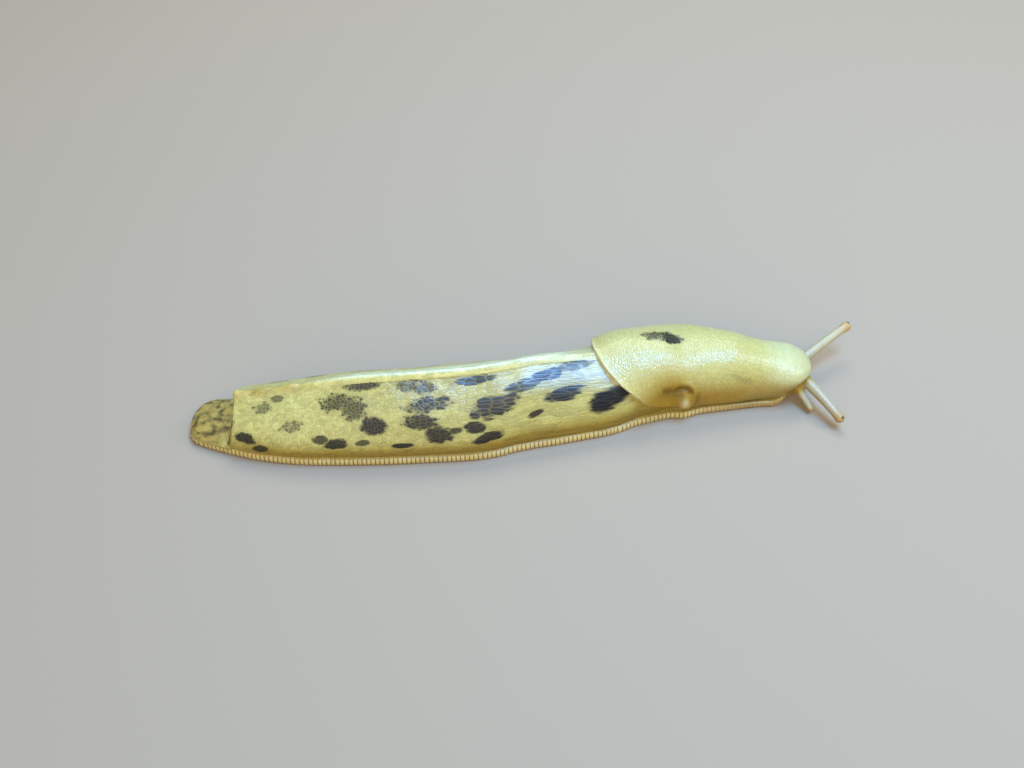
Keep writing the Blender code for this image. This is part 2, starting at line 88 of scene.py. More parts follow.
SIDE_TUCK = ((0, 0), (0.62, 0), (0.7, 0.25), (0.78, 0.85), (0.88, 1.3), (0.96, 1.5), (1, 1.4))
SNOUT_END = 111.8 * MM
SNOUT_ROUND = 4.5 * MM
SNOUT_POWER = 2.7
SNOUT_MIDDLE = 3.9 * MM
FRONT_SHARE = 0.15
HEADING_REACH = 0.004  # share of the length to each side over which the heading is taken
FIRST_RING = 0.1
RING_SPACING = 0.4
POINTS_ROUND_BACK = 91


def profile(stations, share):
    """The smooth curve through (share, value) stations, without overshoot."""
    x, y = np.array(stations, float).T
    rise = np.diff(y) / np.diff(x)
    before, after = rise[:-1], rise[1:]
    turns = before * after <= 0
    inner = np.where(turns, 0, 2 * before * after / np.where(turns, 1, before + after))
    slope = np.concatenate([rise[:1], inner, rise[-1:]])
    share = np.clip(np.asarray(share, float), x[0], x[-1])
    i = np.clip(np.searchsorted(x, share, side="right") - 1, 0, len(x) - 2)
    width = x[i + 1] - x[i]
    t = (share - x[i]) / width
    ends = y[i] * (1 + 2 * t) * (1 - t) ** 2 + y[i + 1] * t**2 * (3 - 2 * t)
    return ends + slope[i] * width * t * (1 - t) ** 2 + slope[i + 1] * width * t**2 * (t - 1)


def along(stations, s):
    """A table's value in metres at station s."""
    return profile(stations, s / BODY_LENGTH) * MM


def round_end(distance, reach, power=2.0):
    """0 to 1 as the outline of a round end does, over reach."""
    t = np.clip(1 - distance / reach, 0, 1)
    return (1 - t**power) ** (1 / power)


def step(x):
    """0 to 1, smoothly, as x goes from 0 to 1."""
    x = np.clip(x, 0, 1)
    return x * x * (3 - 2 * x)


def towards_front(s, behind, at_front):
    """A height that moves from its value behind to the one at the front."""
    share = step((s / BODY_LENGTH - 1 + FRONT_SHARE) / FRONT_SHARE)
    return behind + (at_front - behind) * share


def over_tail_step(s):
    """0 on the tail's lobe, 1 on the back above it."""
    return step((s - TAIL_STEP_AT) / TAIL_STEP_LENGTH + 0.5)


def back_sizes(s):
    """Half width, middle height, top height and base height of the back at station s."""
    tail = round_end(s, TAIL_ROUND, TAIL_POWER)
    snout = round_end(SNOUT_END - s, SNOUT_ROUND, SNOUT_POWER)
    width = (along(HALF_WIDTH, s) - along(SIDE_TUCK, s)) * tail * snout
    lobe = BACK_FLOOR + (TAIL_LOBE_HEIGHT - BACK_FLOOR) * tail
    top = lobe + (along(TOP_HEIGHT, s) - along(TOP_TUCK, s) - lobe) * over_tail_step(s)
    middle = towards_front(s, np.maximum(WIDEST_AT * top, BACK_FLOOR + WIDEST_OVER_FLOOR), SNOUT_MIDDLE)
    top = middle + (top - middle) * snout
    return width, middle, top, middle + (BACK_FLOOR - middle) * snout


def arch(sizes, s, angle):
    """(sideways, up) of a cross-section."""
    width, middle, top, base = sizes(s)
    power = profile(SHOULDER, s / BODY_LENGTH)
    sine, cosine = np.sin(angle), np.cos(angle)
    rise = np.where(cosine < 0, 0, np.abs(cosine) ** power)
    sideways = width * np.where(cosine < 0, sine, np.sign(sine) * np.abs(sine) ** power)
    below = (middle - base) / -math.cos(BASE_ANGLE)
    up = middle + np.where(cosine < 0, below * cosine, (top - middle) * rise)
    if sizes is back_sizes:
        crest = np.exp(-((sideways / KEEL_HALF_WIDTH) ** 2)) * (cosine > 0)
        up = up + along(KEEL_HEIGHT, s) * over_tail_step(s) * crest
    return sideways + along(LEAN, s) * rise**2, up


def spine(s):
    """(x, y) of the body's middle line and its heading (x, y) at station s."""
    share = np.asarray(s) / BODY_LENGTH
    inside = np.clip(share, 0, 1)
    low = np.clip(inside - HEADING_REACH, 0, 1)
    high = np.clip(inside + HEADING_REACH, 0, 1)
    lean = (profile(SPINE_BEND, high) - profile(SPINE_BEND, low)) * MM / ((high - low) * BODY_LENGTH)
    y = profile(SPINE_BEND, share) * MM + lean * (share - inside) * BODY_LENGTH
    length = np.sqrt(1 + lean**2)
    return s - MIDDLE_STATION, y - MIDDLE_Y, 1 / length, lean / length


def place(s, sideways, up):
    """Points from stations, distances to the left and heights."""
    x, y, forward_x, forward_y = spine(s)
    return np.stack(np.broadcast_arrays(x - sideways * forward_y, y + sideways * forward_x, up), axis=-1)


def tube_of(rings):
    """Points and faces of a closed form through rings of points, with flat ends."""
    count, size = len(rings), len(rings[0])
    faces = [tuple(range(size)), tuple(range((count - 1) * size, count * size))]
    for i in range(count - 1):
        for j in range(size):
            k = (j + 1) % size
            faces.append((i * size + j, i * size + k, (i + 1) * size + k, (i + 1) * size + j))
    return np.concatenate(rings), faces


def ring_stations(end):
    """Evenly spaced stations from the tail's tip to an end."""
    return np.arange(FIRST_RING, end / MM, RING_SPACING) * MM


back_angles = np.linspace(-BASE_ANGLE, BASE_ANGLE, POINTS_ROUND_BACK)
flesh = [tube_of([place(s, *arch(back_sizes, s, back_angles)) for s in ring_stations(SNOUT_END)])]

# The foot is a flat slab of muscle that the animal glides on, with a fringe standing out all round.
# It is drawn as rounded rings under the back; the fringe's ribs are raised in the skin later.

FOOT_END = 108.8 * MM
FOOT_ROUND = 4.5 * MM
FOOT_HEIGHT = 1.5 * MM
FLANK_OVER_FOOT = 0.1 * MM
FRINGE_ROUND = 0.55 * MM


def foot_half_width(s):
    """The foot's half width at station s, round at both ends."""
    width = along(HALF_WIDTH, s) - FLANK_OVER_FOOT
    return width * round_end(s, TAIL_ROUND, TAIL_POWER) * round_end(FOOT_END - s, FOOT_ROUND)


def foot_ring(s):
    """A flat ring with rounded edges."""
    width = foot_half_width(s)
    turns = np.linspace(-math.pi / 2, math.pi / 2, 9)
    sink = min(FRINGE_ROUND, width * 0.7)
    edge = width - sink + sink * np.cos(turns)
    up = FOOT_HEIGHT / 2 + np.sign(turns) * (FOOT_HEIGHT / 2 - FRINGE_ROUND) + FRINGE_ROUND * np.sin(turns)
    return place(s, np.concatenate([-edge, edge[::-1]]), np.concatenate([up, up[::-1]]))


flesh.append(tube_of([foot_ring(s) for s in ring_stations(FOOT_END)]))

# The mantle is a thick smooth hood over the front third, grown on the back but free at its rim.
# It is drawn as an outer sheet and an inner one, which meet along the rim. Inside the rim a
# narrow slit stays open, and deeper in the inner sheet is sunk in the flesh.

MANTLE_REAR = 72.5 * MM
MANTLE_SLANT = 20.9 * MM
MANTLE_LIFT = ((0, 1.0), (0.64, 1.0), (0.72, 0.75), (0.8, 0.3), (0.9, 0.15), (1, 0.1))
MANTLE_NOSE = 111.9 * MM
MANTLE_ROUND = 6.0 * MM
MANTLE_POWER = 2.5
HOOD_MIDDLE = 5.9 * MM
RIM_ANGLE = (
    (0, 111), (0.78, 111), (0.84, 114), (0.9, 116), (0.925, 114), (0.95, 105), (0.97, 91), (1, 80),
)  # fmt: skip
RIM_ANGLE_INSIDE = ((0, 114), (0.84, 112), (0.92, 92), (0.95, 60), (0.97, 25), (0.98, 12))
HOOD_MEETS_HEAD = 109.8 * MM
RIM_SLIT = 0.06 * MM
SLIT_DEPTH = 0.35 * MM
INNER_SUNK = 0.9 * MM
SUNK_UNTIL = 104 * MM
SUNK_FADE = 4 * MM
CREST_TO_RIM = 15  # mm over the skin
BASE_OVER_FOOT = 0.3 * MM
NOSE_CROWDING = 1.35
MANTLE_CELLS = 90


def mantle_sizes(s):
    """Half width, middle height, top height and base height of the mantle at station s."""
    lift = along(MANTLE_LIFT, s)
    nose = round_end(MANTLE_NOSE - s, MANTLE_ROUND, MANTLE_POWER)
    width = (along(HALF_WIDTH, s) + lift) * nose
    top = along(TOP_HEIGHT, s) + lift
    middle = towards_front(s, WIDEST_AT * top, HOOD_MIDDLE)
    base = FOOT_HEIGHT + BASE_OVER_FOOT
    return width, middle, middle + (top - middle) * nose, middle + (base - middle) * nose


def rim_start(v):
    """Station of the mantle's rear rim at v, from -1 on the right to 1 on the left."""
    return MANTLE_REAR + MANTLE_SLANT * (v**2 + v**8) / 2


def grown(sizes, s, angle, out):
    """A section's points moved out by a distance, square to its outline."""
    turn = 0.002
    y0, z0 = arch(sizes, s, angle - turn)
    y1, z1 = arch(sizes, s, angle + turn)
    length = np.hypot(y1 - y0, z1 - z0)
    y, z = arch(sizes, s, angle)
    return y - out * (z1 - z0) / length, z + out * (y1 - y0) / length


def mantle_shell(rows, columns):
    """Points and faces of the hood: its outer and inner sheets, closed along the rim."""
    even = np.linspace(-1, 1, columns + 1)
    v = 1.5 * even - 0.5 * even**3
    sheets = []
    outside = (mantle_sizes, MANTLE_NOSE, RIM_ANGLE)
    inside = (back_sizes, HOOD_MEETS_HEAD, RIM_ANGLE_INSIDE)
    for sizes, nose, rim in (outside, inside):
        sheet = []
        for u in np.linspace(0, 1, rows + 1)[:-1]:
            s = rim_start(v) + (1 - (1 - u) ** NOSE_CROWDING) * (nose - rim_start(v))
            angle = v * np.radians(profile(rim, s / BODY_LENGTH))
            from_rim = np.minimum(s - rim_start(v), (1 - np.abs(v)) * CREST_TO_RIM * MM)
            sunk = step((from_rim - SLIT_DEPTH) / MM) * step((SUNK_UNTIL - s) / SUNK_FADE)
            out = 0.0 if sizes is mantle_sizes else RIM_SLIT - INNER_SUNK * sunk
            sheet.append(place(s, *grown(sizes, s, angle, out)))
        top = arch(sizes, nose, 0.0)[1] + (0.0 if sizes is mantle_sizes else RIM_SLIT)
        sheets.append((np.concatenate(sheet), place(nose, 0.0, top)))
    across = columns + 1
    shift = rows * across
    tips = (2 * shift, 2 * shift + 1)
    faces = []
    for i in range(rows):
        last = i + 1 == rows
        for j in range(columns):
            a, b = i * across + j, i * across + j + 1
            faces.append((a, b, *((tips[0],) if last else (b + across, a + across))))
            inner = (tips[1],) if last else (shift + b + across, shift + a + across)
            faces.append((shift + a, shift + b, *inner))
        for a in (i * across, i * across + columns):
            faces.append((a, *(tips if last else (a + across, shift + a + across)), shift + a))
    for j in range(columns):
        faces.append((j, j + 1, shift + j + 1, shift + j))
    (outer, outer_tip), (inner, inner_tip) = sheets
    return np.concatenate([outer, inner, [outer_tip], [inner_tip]]), faces


flesh.append(mantle_shell(MANTLE_CELLS, MANTLE_CELLS))

# The snout carries two soft lips, the mouth between them, and four feelers that the animal can
# draw in. Each feeler is a hollow tube of thin skin; the upper two end in a round tip with an eye.

LIP_STATION = 110.6 * MM
LIP_SIDEWAYS = 1.1 * MM
LIP_HEIGHT = 2.1 * MM
LIP_RADII = (1.1 * MM, 0.95 * MM, 0.85 * MM)
UPPER_STATION = 110.9 * MM
UPPER_ANGLE = 74
# Degrees outward, degrees up, how far it sags, and its length.
UPPER_POSE = {"right": (57, -7, 10, 9.8 * MM), "left": (34, 17, 8, 13.0 * MM)}
UPPER_DIAMETERS = ((0, 2.3), (0.12, 2.05), (0.35, 1.85), (0.8, 1.6), (0.93, 1.9), (1, 1.95))
LOWER_STATION = 109.6 * MM
LOWER_ANGLE = 100
LOWER_POSE = {"right": (58, -22, 20, 4.4 * MM), "left": (38, -12, 20, 4.2 * MM)}
LOWER_DIAMETERS = ((0, 2.2), (0.2, 1.7), (0.5, 1.3), (0.8, 1.15), (1, 1.3))
FEELER_ROOT = 1.2 * MM
FEELER_SHAFT = 0.88
FEELER_END = 1.1 * MM
TURNS = np.linspace(0, 2 * math.pi, 24, endpoint=False)


def feeler_line(s, degrees, outward, rise, sag):
    """The middle line of a feeler, as a function of the distance from the head's surface."""
    root = place(s, *arch(back_sizes, s, math.radians(degrees)))
    _, _, forward_x, forward_y = spine(s)
    turn, rise = math.radians(outward), math.radians(rise)
    flat = math.cos(turn) * np.array([forward_x, forward_y, 0])
    flat += math.sin(turn) * np.array([-forward_y, forward_x, 0])
    direction = math.cos(rise) * flat + math.sin(rise) * np.array([0, 0, 1])

    def line(distance):
        return root + direction * distance - np.array([0, 0, 1]) * sag * distance**2

    return line


def feeler_rings(line, length, diameters):
    """Round rings along a feeler, closer together towards its tip."""
    shaft = np.linspace(-FEELER_ROOT, length * FEELER_SHAFT, 30)
    end = length - FEELER_END * np.linspace(1, 0.05, 14) ** 2
    distances = np.unique(np.concatenate([shaft, end]))
    points = np.array([line(distance) for distance in distances])
    tangents = np.gradient(points, axis=0)
    tangents /= np.linalg.norm(tangents, axis=1)[:, None]
    radii = profile(diameters, distances / length) * MM / 2
    radii = radii * round_end(length - distances, radii[-1])
    side = np.cross(tangents[0], (0, 0, 1.0))
    rings = []
    for point, tangent, radius in zip(points, tangents, radii, strict=True):
        side = side - tangent * (side @ tangent)
        side /= np.linalg.norm(side)
        across = np.cross(tangent, side)
        rings.append(point + radius * (np.cos(TURNS)[:, None] * side + np.sin(TURNS)[:, None] * across))
    return rings


def ball_rings(centre, radii):
    """Rings of an egg-shaped ball."""
    rings = []
    for tilt in np.linspace(-1.5, 1.5, 16):
        ring = np.cos(tilt) * np.stack([0 * TURNS, np.cos(TURNS), np.sin(TURNS)], axis=-1)
        rings.append(centre + np.array(radii) * (ring + [math.sin(tilt), 0, 0]))
    return rings


feelers = {}
for side, word in ((-1, "right"), (1, "left")):
    outward, rise, sag, length = UPPER_POSE[word]
    line = feeler_line(UPPER_STATION, side * UPPER_ANGLE, side * outward, rise, sag)
    feelers["upper_" + word] = (line, length, UPPER_DIAMETERS)
    outward, rise, sag, length = LOWER_POSE[word]
    line = feeler_line(LOWER_STATION, side * LOWER_ANGLE, side * outward, rise, sag)
    feelers["lower_" + word] = (line, length, LOWER_DIAMETERS)
    flesh.append(tube_of(ball_rings(place(LIP_STATION, side * LIP_SIDEWAYS, LIP_HEIGHT), LIP_RADII)))
for line, length, diameters in feelers.values():
    flesh.append(tube_of(feeler_rings(line, length, diameters)))

# The skin is one unbroken wet sheet over all of it. The forms above are melted into one surface,
# softened where the feelers leave the head, and then given its relief: the net of furrows on the
# back, the grain of the mantle, the breathing pore, the ribs of the fringe and the mouth's line.

SKIN_PITCH = 0.15 * MM


def melted(forms, pitch):
    """One closed surface round all the forms, with points a pitch apart."""
    points, faces, count = [], [], 0
    for form_points, form_faces in forms:
        points.append(form_points)
        faces += [tuple(index + count for index in face) for face in form_faces]
        count += len(form_points)
    mesh = bpy.data.meshes.new("skin_forms")
    mesh.from_pydata(np.concatenate(points).tolist(), [], faces)
    work = bmesh.new()
    work.from_mesh(mesh)
    bmesh.ops.recalc_face_normals(work, faces=work.faces)
    work.to_mesh(mesh)
    work.free()
    forms_object = bpy.data.objects.new("skin_forms", mesh)
    bpy.context.scene.collection.objects.link(forms_object)
    melt = forms_object.modifiers.new("melt", "REMESH")
    melt.mode = "VOXEL"
    melt.voxel_size = pitch
    state = bpy.context.evaluated_depsgraph_get()
    result = bpy.data.meshes.new_from_object(forms_object.evaluated_get(state))
    bpy.data.objects.remove(forms_object)
    return result


def column(mesh_items, name, width, kind):
    """One property of all points or edges of a mesh, a row for each."""
    values = np.empty(len(mesh_items) * width, kind)
    mesh_items.foreach_get(name, values)
    return values.reshape(-1, width)


def softened(points, edges, share, rounds):
    """Points moved towards the mean of their neighbours, by share in each round."""
    here, there = np.concatenate([edges, edges[:, ::-1]]).T
    count = np.bincount(here, minlength=len(points))[:, None]
    for _ in range(rounds):
        sums = [np.bincount(here, points[there, k], len(points)) for k in range(3)]
        points = points + (np.stack(sums, axis=1) / count - points) * share
    return points


skin_mesh = melted(flesh, SKIN_PITCH)
points = column(skin_mesh.vertices, "co", 3, np.float32).astype(float)
edges = column(skin_mesh.edges, "vertices", 2, np.int32)


def located(points):
    """Station, distance to the left and height of points."""
    x, y, up = points.T
    s = x + MIDDLE_STATION
    for _ in range(4):
        _, middle_y, forward_x, forward_y = spine(s)
        sideways = (y - middle_y) / forward_x
        s = x + MIDDLE_STATION + sideways * forward_y
    return s, sideways, up


SMALLEST = 0.1 * MM  # keeps shares finite at the ends, where the sizes shrink to nothing


def angle_at(sizes, s, sideways, up):
    """The angle of a point round a cross-section."""
    width, middle, top, base = sizes(s)
    power = profile(SHOULDER, s / BODY_LENGTH)
    rise = np.clip((up - middle) / np.maximum(top - middle, SMALLEST), 0, 1.3)
    across = sideways - along(LEAN, s) * np.minimum(rise, 1) ** 2
    reach = np.abs(across) / np.maximum(width, SMALLEST)
    below = (middle - base) / -math.cos(BASE_ANGLE)
    over = np.arctan2(reach ** (1 / power), rise ** (1 / power))
    under = np.arctan2(reach, (up - middle) / np.maximum(below, SMALLEST))
    return np.sign(across) * np.where(up > middle, over, under)


def girth(sizes, s, angle):
    """Distance over the skin in mm from the crest, - to the right."""
    stations = np.arange(0.5, 112, 1.0) * MM
    turns = np.radians(np.arange(-150, 151, 2.0))
    table = []
    for station in stations:
        y, z = arch(sizes, station, turns)
        lengths = np.concatenate([[0], np.cumsum(np.hypot(np.diff(y), np.diff(z)))]) / MM
        table.append(lengths - lengths[len(turns) // 2])
    table = np.array(table)
    row = np.clip((s - stations[0]) / MM, 0, len(stations) - 1.001)
    place_in_row = np.clip((angle - turns[0]) / (turns[1] - turns[0]), 0, len(turns) - 1.001)
    i, j = row.astype(int), place_in_row.astype(int)
    f, g = row - i, place_in_row - j
    low = table[i, j] * (1 - g) + table[i, j + 1] * g
    high = table[i + 1, j] * (1 - g) + table[i + 1, j + 1] * g
    return low * (1 - f) + high * f


def scatter(i, j, seed):
    """A fixed random number from 0 to 1 for each square of a grid."""
    mixed = (i * 374761393 + j * 668265263 + seed * 974634777) & 0xFFFFFFFF
    mixed = ((mixed ^ (mixed >> 13)) * 1274126177) & 0xFFFFFFFF
    return (mixed ^ (mixed >> 16)) / 0xFFFFFFFF


def hills(u, v, seed):
    """Smooth random heights from -1 to 1, about one unit apart."""
    i, j = np.floor(u).astype(int), np.floor(v).astype(int)
    f, g = step(u - i), step(v - j)
    low = scatter(i, j, seed) * (1 - f) + scatter(i + 1, j, seed) * f
    high = scatter(i, j + 1, seed) * (1 - f) + scatter(i + 1, j + 1, seed) * f
    return 2 * (low * (1 - g) + high * g) - 1


def near_line(p, q, corners, half_width):
    """1 on a line through (p, q) corners in mm, falling to 0 away from it."""
    away = np.full(p.shape, 99.0)
    for (p0, q0), (p1, q1) in zip(corners, corners[1:]):
        share = ((p - p0) * (p1 - p0) + (q - q0) * (q1 - q0)) / ((p1 - p0) ** 2 + (q1 - q0) ** 2)
        share = np.clip(share, 0, 1)
        away = np.minimum(away, np.hypot(p - p0 - share * (p1 - p0), q - q0 - share * (q1 - q0)))
    return np.exp(-((away / half_width) ** 2))


# Feelers first: which points are on one or at its tip, and the soft fillet where it leaves the head.
TIP_TONE = {"upper": 0.85, "lower": 0.5}
FEELERS_FROM = 45 * MM
feeler_share, feeler_tip, fillet = np.zeros((3, len(points)))
front = np.nonzero(points[:, 0] > FEELERS_FROM)[0]
for name, (line, length, diameters) in feelers.items():
    steps = np.linspace(0, length, 60)
    centres = np.array([line(distance) for distance in steps])
    away = np.linalg.norm(points[front, None, :] - centres[None], axis=2)
    nearest = away.argmin(axis=1)
    radius = profile(diameters, steps[nearest] / length) * MM / 2
    on_it = step((radius + 0.45 * MM - away.min(axis=1)) / (0.3 * MM))
    on_it = on_it * step(steps[nearest] / (1.5 * MM) - 0.1)
    feeler_share[front] = np.maximum(feeler_share[front], on_it)
    at_tip = step((steps[nearest] / length - 0.72) / 0.2) * TIP_TONE[name.split("_")[0]]
    feeler_tip[front] = np.maximum(feeler_tip[front], on_it * at_tip)
    from_root = np.linalg.norm(points[front] - line(0.2 * MM), axis=1)
    fillet[front] = np.maximum(fillet[front], 1 - step((from_root / MM - 0.9) / 1.2))

rounds = 12
points = softened(points, edges, 0.5 * np.maximum(fillet, 0)[:, None], rounds)
points = softened(points, edges, 0.5, 2)

s, sideways, up = located(points)
station = s / MM
height = up / MM
back_angle = angle_at(back_sizes, s, sideways, up)
mantle_angle = angle_at(mantle_sizes, s, sideways, up)
back_girth = girth(back_sizes, s, back_angle)
mantle_girth = girth(mantle_sizes, s, mantle_angle)

# How far a point is inside the mantle's rim, in mm, and whether it is on the mantle's outer face.
outer_y, outer_z = arch(mantle_sizes, s, mantle_angle)
off_mantle = np.hypot(sideways - outer_y, up - outer_z) / MM
v = mantle_angle / np.radians(profile(RIM_ANGLE, s / BODY_LENGTH))
past_rim = (s - rim_start(np.clip(v, -1, 1))) / MM
on_mantle = step((0.75 - off_mantle) / 0.3) * step(past_rim / 0.3 + 1.1)
on_mantle = on_mantle * step((1.02 - np.abs(v)) / 0.04) * (1 - feeler_share)
on_foot = (1 - on_mantle) * step((FOOT_HEIGHT + 0.25 * MM - up) / (0.3 * MM)) * (1 - feeler_share)
on_back = (1 - on_mantle) * (1 - on_foot) * (1 - feeler_share)

# The back's furrows part it into low bumps. They are as long as wide at the tail and five times as
# long near the mantle, where they run in lines along the body. The material draws the furrows; the
# coordinates here count bumps along the body and round it.
BUMP_WIDTH = 0.62
BUMP_LENGTH_TAIL = 0.68
BUMP_LENGTH_FRONT = 3.4
RULE_STEP = 0.1
STEP_WALL = 5.0  # mm of skin down the tail's step, which the pattern runs on over
rule = np.arange(-1, 116, RULE_STEP)
longer = (BUMP_LENGTH_FRONT - BUMP_LENGTH_TAIL) * step((rule - 36) / 32) * step((98 - rule) / 6)
bumps_along = np.cumsum(RULE_STEP / (BUMP_LENGTH_TAIL + longer))
below_step = STEP_WALL * (over_tail_step(s) - 1)
back_u = np.interp(station, rule, bumps_along) + below_step / BUMP_LENGTH_TAIL
back_v = (back_girth + 0.35 * hills(station / 7, back_girth / 4, 3)) / BUMP_WIDTH
relief = on_back * 0.10 * hills(station / 8, back_girth / 5, 21)
relief += on_back * 0.05 * hills(back_u / 1.6, back_v / 2.4, 22) * step((station - 8) / 4)
keel_length = step((station - 6.8) / 1.2) * step((MANTLE_REAR / MM + 2 - station) / 9) * on_back
keel_fade = 0.35 + 1.1 * step((30 - station) / 10)
keel = step((1.55 - np.abs(back_girth)) / keel_fade) * keel_length
beside_keel = np.exp(-(((np.abs(back_girth) - 1.6) / 0.22) ** 2)) * keel_length * step((station - 22) / 12)
relief -= 0.07 * beside_keel
relief += keel * 0.24 * hills(station / 2.3, back_girth / 9, 23) * step((34 - station) / 16)

# The slime pore, a small notch in the step under the keel's end: station, sideways and height.
SLIME_PORE_AT = (8.1, 0.0, 4.1)
SLIME_PORE_RADII = (0.9, 0.6, 0.85)
from_pore = np.stack([station, sideways / MM, height], axis=1) - SLIME_PORE_AT
slime_pore = np.exp(-np.sum((from_pore / SLIME_PORE_RADII) ** 2, axis=1)) * on_back
relief -= 0.55 * slime_pore

# The mantle's grain is finer, with short streaks across the body.
GRAIN_LENGTH = 0.42
GRAIN_WIDTH = 0.95
mantle_u = (station + 0.5 * hills(station / 4, mantle_girth / 3, 35)) / GRAIN_LENGTH
mantle_v = mantle_girth / GRAIN_WIDTH
relief += on_mantle * 0.09 * hills(station / 7, mantle_girth / 5, 41)
relief += on_mantle * 0.035 * hills(station / 1.3, mantle_girth / 2.8, 42)

# The breathing pore: a dark crescent over a soft pad, a slit running back from it, and a ring.
# p is the distance ahead of its middle and q the distance above it.
PORE_STATION = 87.0
PORE_GIRTH = -11.0
PORE_SCALE = 1.2
p, q = (station - PORE_STATION) / PORE_SCALE, (mantle_girth - PORE_GIRTH) / PORE_SCALE
CRESCENT = ((-3.6, 0.5), (-2.2, 0.5), (-1.2, 0.95), (-0.3, 1.25), (0.6, 1.15), (1.2, 0.7))
crescent = near_line(p, q, CRESCENT, 0.5)
pore_depth = 0.4 + 0.6 * step((p + 2.4) / 1.6)
pore_pad = np.exp(-(((p - 0.05) / 0.9) ** 2) - (((q + 1.25) / 1.0) ** 2))
from_middle = np.hypot(p - 0.1, q + 0.1)
ring = np.exp(-(((from_middle - 2.15) / 0.45) ** 2)) * step((p + q * -0.4 + 1.6) / 2.0)
hollow = np.exp(-(((p + 3.2) / 2.2) ** 2) - (((q + 0.3) / 1.5) ** 2))
relief += on_mantle * (-0.5 * crescent * pore_depth + 0.45 * pore_pad + 0.26 * ring - 0.4 * hollow)

# A shallow dimple low on the mantle, ahead of the pore.
dimple = near_line(station, mantle_girth, ((97.2, -6.8), (98.6, -7.5), (100.0, -7.1)), 0.6)
relief += on_mantle * -0.09 * dimple

# The fringe: upright ribs all along the foot's edge, 0.78 mm apart, under a narrow furrow.
RIB_SPACING = 0.78
EDGE_PARTS = ((0.02, 6, 400), (6.01, 103, 2000), (103.01, 108.79, 400))  # from, to, points
edge_stations = np.concatenate([np.linspace(*part) for part in EDGE_PARTS]) * MM
edge_length = {}
for side in (-1, 1):
    outline = place(edge_stations, side * foot_half_width(edge_stations), 0.0)
    steps = np.linalg.norm(np.diff(outline, axis=0), axis=1)
    edge_length[side] = np.concatenate([[0], np.cumsum(steps)]) / MM
tail_turn = np.arctan2(np.abs(sideways), TAIL_ROUND - s) / (math.pi / 2)
tail_path = np.interp(TAIL_ROUND, edge_stations, edge_length[1]) * tail_turn
right_path = np.interp(s, edge_stations, edge_length[-1])
left_path = np.interp(s, edge_stations, edge_length[1])
path = np.where(s < TAIL_ROUND, tail_path, np.where(sideways < 0, right_path, left_path))
rib_count = path / RIB_SPACING + 0.1 * hills(path / 2.5, height / 9, 51)
fringe_top = 1.6 - 0.15 * step((station - 92) / 10)
fringe = step((fringe_top - height) / 0.3) * (1 - on_mantle) * (1 - feeler_share)
rib_depth = 1 - 0.55 * step((station - 88) / 10)
relief += fringe * rib_depth * -0.07 * np.cos(2 * math.pi * rib_count)
furrow_over_foot = np.exp(-(((height - fringe_top - 0.1) / 0.16) ** 2))
furrow_over_foot = furrow_over_foot * (1 - on_mantle) * (1 - feeler_share)
relief += -0.05 * furrow_over_foot * step((106 - station) / 2)

# The mouth, a line between the lips.
MOUTH = ((-1.7, 2.2), (-1.1, 2.75), (-0.5, 3.05), (0, 3.1), (0.5, 3.05), (1.1, 2.75), (1.7, 2.2))
mouth = near_line(sideways / MM, height, MOUTH, 0.2) * step((station - 109.8) / 0.6)
mouth = mouth * (1 - on_mantle) * (1 - feeler_share)
relief += -0.3 * mouth

# The relief moves each point square to the surface, but leaves the sole flat.
normals = column(skin_mesh.vertices, "normal", 3, np.float32).astype(float)
# Painted shade: the downward-facing side of each feeler is coloured a darker, warmer ochre.
feeler_under = feeler_share * step((0.5 - normals[:, 2]) / 0.9)
above_sole = step(up / (0.25 * MM))
points = points + normals * (relief * above_sole)[:, None] * MM
points[:, 2] = np.maximum(points[:, 2], 0)
skin_mesh.vertices.foreach_set("co", points.astype(np.float32).ravel())

